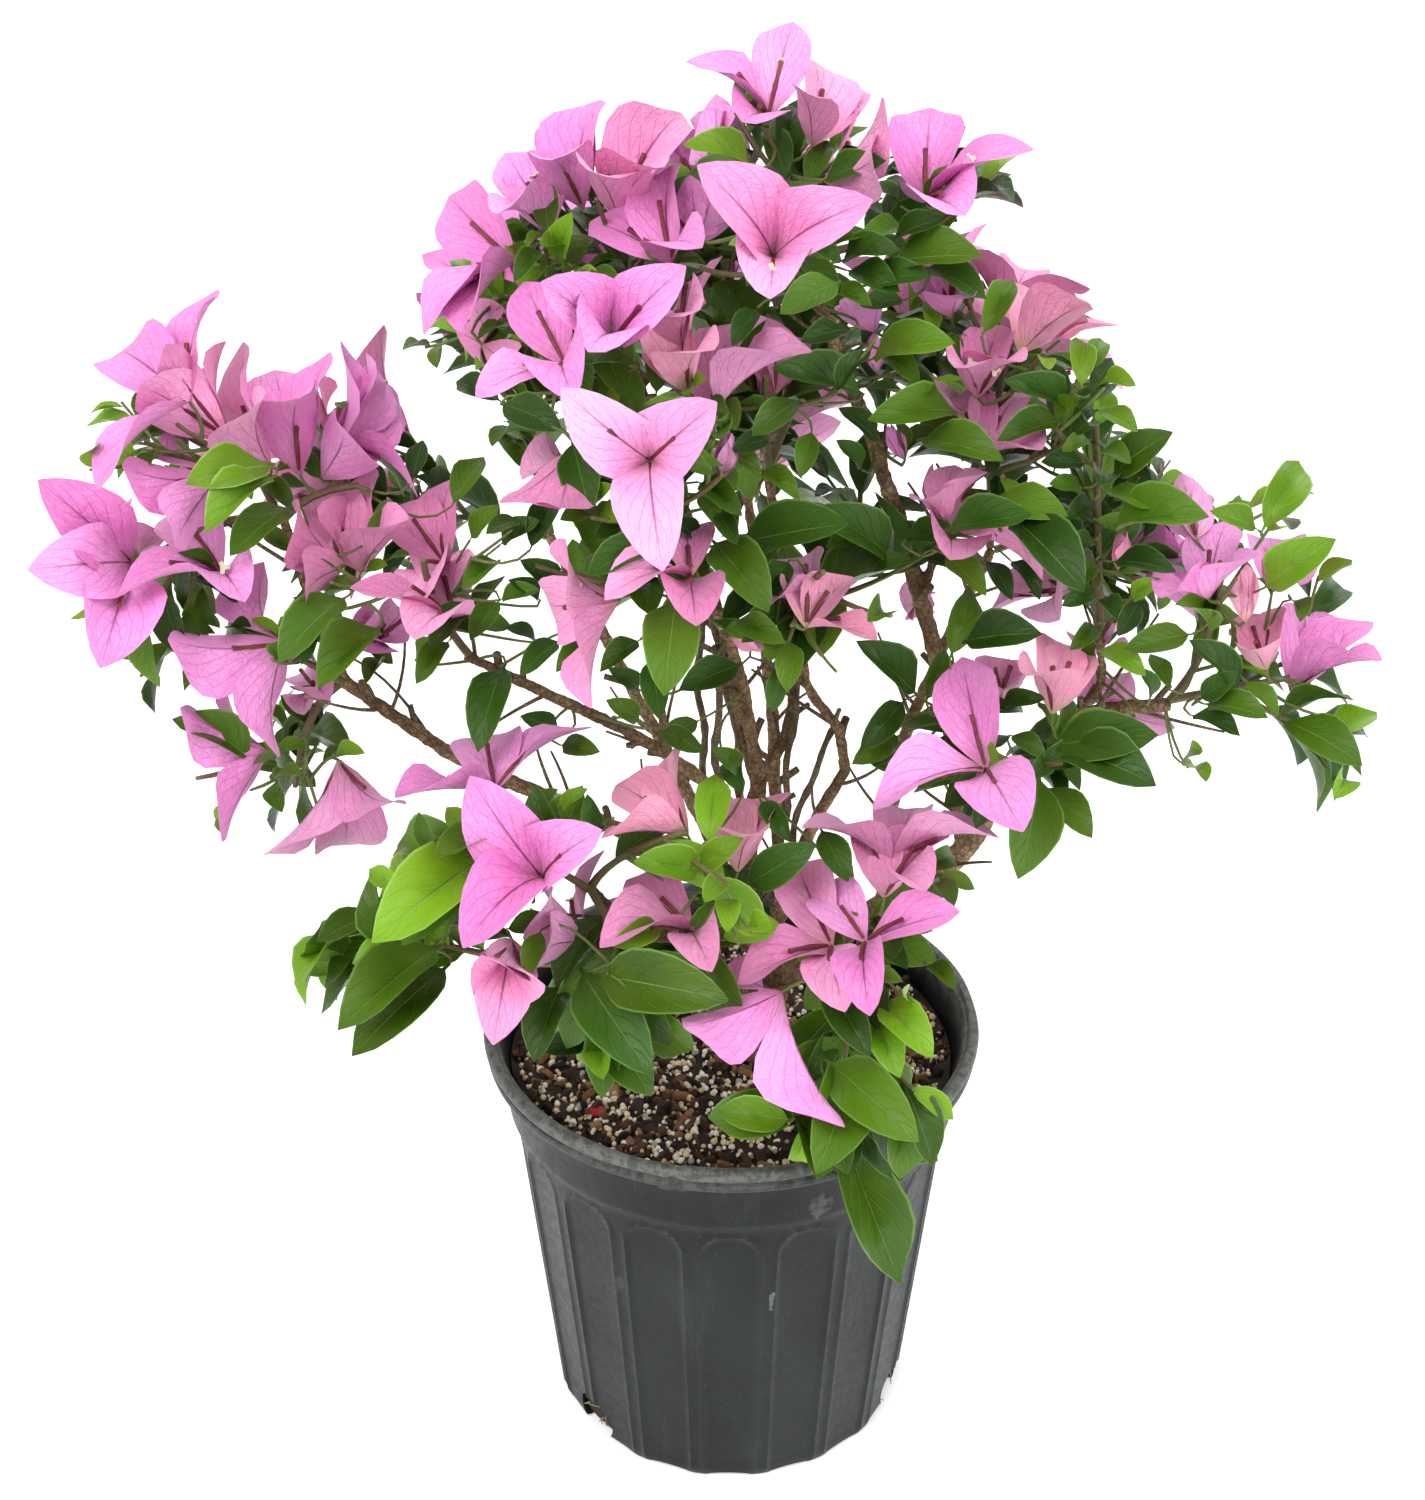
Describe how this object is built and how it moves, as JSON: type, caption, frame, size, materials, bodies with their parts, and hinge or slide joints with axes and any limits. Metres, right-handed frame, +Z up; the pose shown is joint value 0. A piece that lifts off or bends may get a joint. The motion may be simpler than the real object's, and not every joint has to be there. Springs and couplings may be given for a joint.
{
  "type": "bougainvillea bush in nursery pot",
  "caption": "Flowering bougainvillea bush with pink papery bracts, glossy leaves and open woody stems, standing in a round black plastic nursery pot.",
  "frame": {"origin": "centre of the pot's flat underside", "axes": "+Z up along the pot's axis, -Y to the front of the plant, +X to its right"},
  "size_m": [0.5495, 0.378, 0.6601],
  "materials": {
    "pot": "satin moulded plastic, dusty rim",
    "potting_mix": "loose bark and perlite mix",
    "bark": "rough brown bark",
    "foliage": "glossy green leaves",
    "blossom": "thin papery mauve-pink bracts"
  },
  "bodies": {
    "root": {"nursery_pot": "pot", "potting_soil": "potting_mix", "trunk": "bark", "right_bough_lower": "bark", "right_bough_upper": "bark", "tall_cane_lower": "bark", "tall_cane_upper": "bark", "cane_side": "bark", "upright_stem": "bark", "centre_stem": "bark", "middle_stem_left": "bark", "middle_stem_right": "bark", "crown_left_stem": "bark", "left_upper_bough": "bark", "curved_stem_lower": "bark", "curved_stem_upper": "bark", "left_bough": "bark", "left_bough_upper": "bark", "low_left_bough": "bark", "low_front_bough": "bark", "low_right_bough": "bark", "back_left_bough": "bark", "back_bough": "bark", "back_right_bough": "bark", "spray_top": "blossom", "spray_top_right": "blossom", "spray_crown_front": "blossom", "spray_top_left": "blossom", "spray_upper_left": "blossom", "spray_upper_front": "blossom", "spray_upper_centre": "blossom", "spray_upper_inner": "blossom", "spray_centre_front": "blossom", "spray_centre_left": "blossom", "spray_centre_right": "blossom", "spray_centre_back": "blossom", "spray_left_middle": "blossom", "spray_left_inner": "blossom", "spray_left_outer": "blossom", "spray_far_left": "blossom", "spray_left_low": "blossom", "spray_left_hanging": "blossom", "spray_low_left": "foliage", "spray_lower_left": "blossom", "spray_low_centre": "blossom", "spray_low_front": "blossom", "spray_low_right": "blossom", "spray_pot_front": "blossom", "spray_right_front": "blossom", "spray_right_middle": "blossom", "spray_right_upper": "blossom", "spray_upright": "foliage", "spray_right_end": "blossom", "spray_far_right": "blossom", "spray_back_left_high": "blossom", "spray_back_left_low": "blossom", "spray_back_high": "blossom", "spray_back_low": "blossom", "spray_back_right_high": "blossom", "spray_back_right_low": "blossom"}
  },
  "joints": []
}
